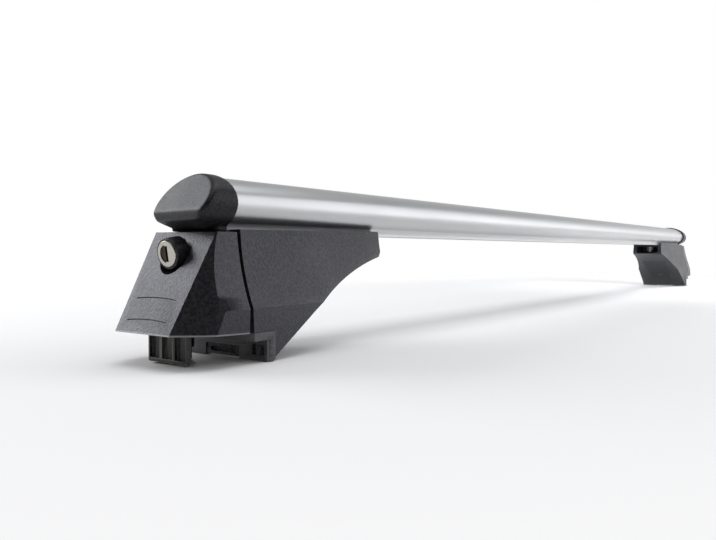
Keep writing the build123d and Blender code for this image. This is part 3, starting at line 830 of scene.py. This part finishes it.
# Middle of the left lock, how far its face looks down, and the sunk half of the face
LOCK_PLACE = (-589.6 * MM, 0.0, 60.4 * MM)
LOCK_TILT = math.radians(9)
SUNK_RADIUS = 5.0 * MM
SUNK_START = 0.9 * MM
SUNK_DEPTH = 0.7 * MM
SUNK_FLOOR = 0.25 * MM
SUNK_SIDES = 64


def half_disc(name, turn, low, high):
    """A half disc on one side of the keyway, between two heights over the lock's middle."""
    deselect()
    bpy.ops.mesh.primitive_cylinder_add(
        vertices=SUNK_SIDES, radius=SUNK_RADIUS, depth=high - low
    )
    piece = bpy.context.object
    piece.name = name
    bpy.ops.object.mode_set(mode="EDIT")
    bpy.ops.mesh.select_all(action="SELECT")
    bpy.ops.mesh.bisect(
        plane_co=(0, SUNK_START, 0), plane_no=(0, 1, 0), use_fill=True, clear_inner=True
    )
    bpy.ops.object.mode_set(mode="OBJECT")
    place = Matrix.Translation((0, 0, (low + high) / 2))
    tilt = Matrix.Rotation(-math.pi / 2 - LOCK_TILT, 4, "Y")
    half_round = Matrix.Rotation(0 if turn > 0 else math.pi, 4, "Z")
    piece.matrix_world = half_round @ Matrix.Translation(LOCK_PLACE) @ tilt @ place
    bpy.ops.object.transform_apply(location=True, rotation=True, scale=True)
    return piece


def lock_face_height(core, turn):
    """How far the nickel face stands over the lock's middle, along its axis."""
    axis = Vector((-turn * math.cos(LOCK_TILT), 0, -math.sin(LOCK_TILT)))
    middle = Vector((turn * LOCK_PLACE[0], 0, LOCK_PLACE[2]))
    return max((point.co - middle).dot(axis) for point in core.data.vertices)


def cut_away(piece, cutter):
    """Takes the cutter's shape out of a piece and deletes the cutter."""
    make_active(piece)
    cut = piece.modifiers.new("cut", "BOOLEAN")
    cut.operation = "DIFFERENCE"
    cut.object = cutter
    bpy.ops.object.modifier_apply(modifier=cut.name)
    bpy.data.objects.remove(cutter, do_unlink=True)


class CROSSBAR_OT_locks(bpy.types.Operator):
    """Make the locks with their cams"""

    bl_idname = "crossbar.locks"
    bl_label = "Locks"

    def execute(self, context):
        edge = context.scene.crossbar_sizes.metal_edge
        for side, turn in SIDES_TURNED:
            body = side + "_lock"
            dress(
                side + "_lock_housing", side + "_cover", "black_plastic", edge
            )
            core = merged_copy(side + "_lock_core", side + "_lock_core_dressed")
            face = lock_face_height(core, turn)
            bottom = face - SUNK_DEPTH
            cut_away(core, half_disc("cutter", turn, bottom, face + SUNK_DEPTH))
            round_edges(core, edge)
            settle(core, body, "nickel", side + "_lock_core")
            plate = half_disc(side + "_keyway_plate", turn, bottom, bottom + SUNK_FLOOR)
            settle(plate, body, "shutter_metal")
            dress(side + "_keyhole_shutter", body, "shutter_metal", SHUTTER_EDGE)
            dress(side + "_lock_cam", body, "zinc_steel", edge)
            dress(side + "_cam_screw", body, "zinc_steel", edge)
        return {"FINISHED"}


class CROSSBAR_OT_clamps(bpy.types.Operator):
    """Make the hooked claws with their bolts"""

    bl_idname = "crossbar.clamps"
    bl_label = "Clamps"

    def execute(self, context):
        edge = context.scene.crossbar_sizes.metal_edge
        for side in SIDES:
            body = side + "_claw"
            dress(
                side + "_clamp_claw",
                body,
                "claw_steel",
                CLAW_ROUNDING * edge,
                FINE_SEGMENTS,
            )
            dress(side + "_claw_liner", body, "black_rubber", edge)
            dress(side + "_clamp_washer", body, "zinc_steel", edge)
            dress(side + "_clamp_bolt", side + "_bolt", "zinc_steel", edge)
            dress(side + "_clamp_nut", side + "_foot", "zinc_steel", edge)
        return {"FINISHED"}


class CROSSBAR_OT_bar_fixings(bpy.types.Operator):
    """Make the bolts that hold the bar on the feet"""

    bl_idname = "crossbar.bar_fixings"
    bl_label = "Bar fixings"

    def execute(self, context):
        edge = context.scene.crossbar_sizes.metal_edge
        for side in SIDES:
            for name in ("tee_bolt", "tee_bolt_washer", "tee_bolt_nut"):
                dress(f"{side}_{name}", side + "_foot", "zinc_steel", edge)
        return {"FINISHED"}


# Studio

def background_switch(tree):
    """1 for rays that show the background: straight, mirrored or seen through glass."""
    rays = tree.nodes.new("ShaderNodeLightPath")
    seen = math_node(
        tree, "MAXIMUM", rays.outputs["Is Camera Ray"], rays.outputs["Is Glossy Ray"]
    )
    return math_node(tree, "MAXIMUM", seen, rays.outputs["Is Transmission Ray"])


# Where the white sweep of the studio ends sideways and upwards, and how pale the room beyond
# it looks in a mirror
SWEEP_DIRECTION = (0.62, 0.78, 0.0)
SWEEP_EDGE = (-0.3, 0.5)
SWEEP_TOP = (0.12, 0.5)
SWEEP_TOP_LEVEL = 0.4
ROOM_LEVEL = 0.14


def make_world(level):
    """White behind the bar, and a dimmer room on the open side for reflections alone."""
    world = bpy.data.worlds.new("studio")
    bpy.context.scene.world = world
    world.use_nodes = True
    tree = world.node_tree
    tree.nodes.clear()
    around = tree.nodes.new("ShaderNodeTexCoord").outputs["Generated"]
    facing = tree.nodes.new("ShaderNodeVectorMath")
    facing.operation = "DOT_PRODUCT"
    facing.inputs[1].default_value = SWEEP_DIRECTION
    tree.links.new(around, facing.inputs[0])
    rise = tree.nodes.new("ShaderNodeSeparateXYZ")
    tree.links.new(around, rise.inputs["Vector"])
    side = fade_node(tree, facing.outputs["Value"], *SWEEP_EDGE, ROOM_LEVEL, 1.0)
    top = fade_node(tree, rise.outputs["Z"], *SWEEP_TOP, 1.0, SWEEP_TOP_LEVEL)
    room = math_node(tree, "MULTIPLY", side, top)
    straight = tree.nodes.new("ShaderNodeLightPath").outputs["Is Camera Ray"]
    strength = math_node(tree, "MAXIMUM", room, straight)
    light = tree.nodes.new("ShaderNodeBackground")
    light.inputs["Strength"].default_value = level
    white = tree.nodes.new("ShaderNodeBackground")
    white.inputs["Color"].default_value = (1.0, 1.0, 1.0, 1.0)
    tree.links.new(strength, white.inputs["Strength"])
    mix = tree.nodes.new("ShaderNodeMixShader")
    tree.links.new(background_switch(tree), mix.inputs["Fac"])
    tree.links.new(light.outputs["Background"], mix.inputs[1])
    tree.links.new(white.outputs["Background"], mix.inputs[2])
    end = tree.nodes.new("ShaderNodeOutputWorld")
    tree.links.new(mix.outputs["Shader"], end.inputs["Surface"])


# The floor fades to white outside an oval round the bar
FLOOR_SIZE = 8.0
FLOOR_DROP = 0.2 * MM
FLOOR_ROUGHNESS = 0.9
FADE_SHAPE = (0.55, 1.0, 1.0)
FADE_START = 0.33
FADE_END = 0.6


def make_floor(colour):
    """A pale floor that fades to the white background away from the bar."""
    bpy.ops.mesh.primitive_plane_add(size=FLOOR_SIZE, location=(0, 0, -FLOOR_DROP))
    floor = bpy.context.object
    floor.name = "floor"
    bpy.ops.object.transform_apply(location=True, rotation=False, scale=False)
    material, tree, shader, where = new_material(
        "studio_floor", tuple(colour), FLOOR_ROUGHNESS, specular=0.0
    )
    oval = tree.nodes.new("ShaderNodeVectorMath")
    oval.operation = "MULTIPLY"
    oval.inputs[1].default_value = FADE_SHAPE
    tree.links.new(where, oval.inputs[0])
    distance = tree.nodes.new("ShaderNodeVectorMath")
    distance.operation = "LENGTH"
    tree.links.new(oval.outputs["Vector"], distance.inputs[0])
    fade = fade_node(tree, distance.outputs["Value"], FADE_START, FADE_END, 0.0, 1.0)
    share = math_node(tree, "MULTIPLY", fade, background_switch(tree))
    white = tree.nodes.new("ShaderNodeEmission")
    white.inputs["Strength"].default_value = 1.0
    mix = tree.nodes.new("ShaderNodeMixShader")
    tree.links.new(share, mix.inputs["Fac"])
    tree.links.new(shader.outputs["BSDF"], mix.inputs[1])
    tree.links.new(white.outputs["Emission"], mix.inputs[2])
    tree.links.new(mix.outputs["Shader"], tree.nodes["Material Output"].inputs["Surface"])
    floor.data.materials.append(material)


# Softboxes: name, place, target, width, height, power in watts and spread. The last one is
# narrow, so that it reaches only the far foot.
SOFTBOXES = (
    ("top_light", (0.0, -0.1, 2.2), (0.0, 0.0, 0.05), 2.8, 1.4, 20.0, math.pi),
    ("back_left_light", (-0.99, 1.6, 0.98), (-0.57, 0.0, 0.05), 1.4, 0.8, 15.5, math.pi),
    ("front_right_light", (1.5, -1.6, 0.96), (-0.4, 0.0, 0.06), 2.6, 2.0, 22.0, math.pi),
    ("far_foot_light", (-0.25, -1.1, 0.3), (0.56, 0.0, 0.05), 0.4, 0.3, 1.2, math.radians(30)),
)

# The photograph's light is slightly cool
LAMP_COLOUR = (0.96, 0.97, 1.0)


def make_softbox(name, place, target, width, height, power, spread):
    """A soft rectangular lamp that looks at its target."""
    bpy.ops.object.light_add(type="AREA", location=place)
    lamp = bpy.context.object
    lamp.name = name
    lamp.data.shape = "RECTANGLE"
    lamp.data.size = width
    lamp.data.size_y = height
    lamp.data.energy = power
    lamp.data.color = LAMP_COLOUR
    lamp.data.spread = spread
    aim = Vector(target) - Vector(place)
    lamp.rotation_euler = aim.to_track_quat("-Z", "Y").to_euler()


def make_camera():
    """The camera, where the photograph was taken from."""
    bpy.ops.object.camera_add(location=CAMERA_PLACE)
    camera = bpy.context.object
    camera.name = "photo_camera"
    camera.data.lens = CAMERA_LENS
    camera.data.sensor_width = SENSOR_WIDTH
    camera.data.clip_start = CAMERA_NEAR
    turn = (
        Matrix.Rotation(CAMERA_YAW - math.pi / 2, 3, "Z")
        @ Matrix.Rotation(math.pi / 2 - CAMERA_DIP, 3, "X")
        @ Matrix.Rotation(CAMERA_ROLL, 3, "Z")
    )
    camera.rotation_euler = turn.to_euler()
    bpy.context.scene.camera = camera


class CROSSBAR_OT_stage(bpy.types.Operator):
    """Set up the plain studio and the camera"""

    bl_idname = "crossbar.stage"
    bl_label = "Studio"

    def execute(self, context):
        studio = context.scene.crossbar_studio
        deselect()
        make_world(studio.world_level)
        make_floor(studio.floor_colour)
        for name, place, target, width, height, power, spread in SOFTBOXES:
            power *= studio.lamp_power
            make_softbox(name, place, target, width, height, power, spread)
        make_camera()
        context.scene.view_settings.view_transform = "Standard"
        return {"FINISHED"}


class CROSSBAR_PT_panel(bpy.types.Panel):
    """Lists the steps and settings of the crossbar"""

    bl_idname = "CROSSBAR_PT_panel"
    bl_label = "Crossbar"
    bl_space_type = "VIEW_3D"
    bl_region_type = "UI"
    bl_category = "Crossbar"

    def draw(self, context):
        layout = self.layout
        for step in STEPS:
            layout.operator(step.bl_idname)
        for settings in (
            context.scene.crossbar_finish,
            context.scene.crossbar_sizes,
            context.scene.crossbar_studio,
        ):
            box = layout.box()
            for name in settings.__annotations__:
                box.prop(settings, name)


STEPS = (
    CROSSBAR_OT_stage,
    CROSSBAR_OT_bar,
    CROSSBAR_OT_end_caps,
    CROSSBAR_OT_feet,
    CROSSBAR_OT_covers,
    CROSSBAR_OT_locks,
    CROSSBAR_OT_clamps,
    CROSSBAR_OT_bar_fixings,
)
CLASSES = (CrossbarFinish, CrossbarSizes, CrossbarStudio, *STEPS, CROSSBAR_PT_panel)


def register():
    for item in CLASSES:
        bpy.utils.register_class(item)
    bpy.types.Scene.crossbar_finish = bpy.props.PointerProperty(type=CrossbarFinish)
    bpy.types.Scene.crossbar_sizes = bpy.props.PointerProperty(type=CrossbarSizes)
    bpy.types.Scene.crossbar_studio = bpy.props.PointerProperty(type=CrossbarStudio)


def unregister():
    del bpy.types.Scene.crossbar_studio
    del bpy.types.Scene.crossbar_sizes
    del bpy.types.Scene.crossbar_finish
    for item in reversed(CLASSES):
        bpy.utils.unregister_class(item)


def main():
    register()
    bpy.ops.crossbar.stage()
    bpy.ops.crossbar.bar()
    bpy.ops.crossbar.end_caps()
    bpy.ops.crossbar.feet()
    bpy.ops.crossbar.covers()
    bpy.ops.crossbar.locks()
    bpy.ops.crossbar.clamps()
    bpy.ops.crossbar.bar_fixings()


if __name__ == "__main__":
    main()
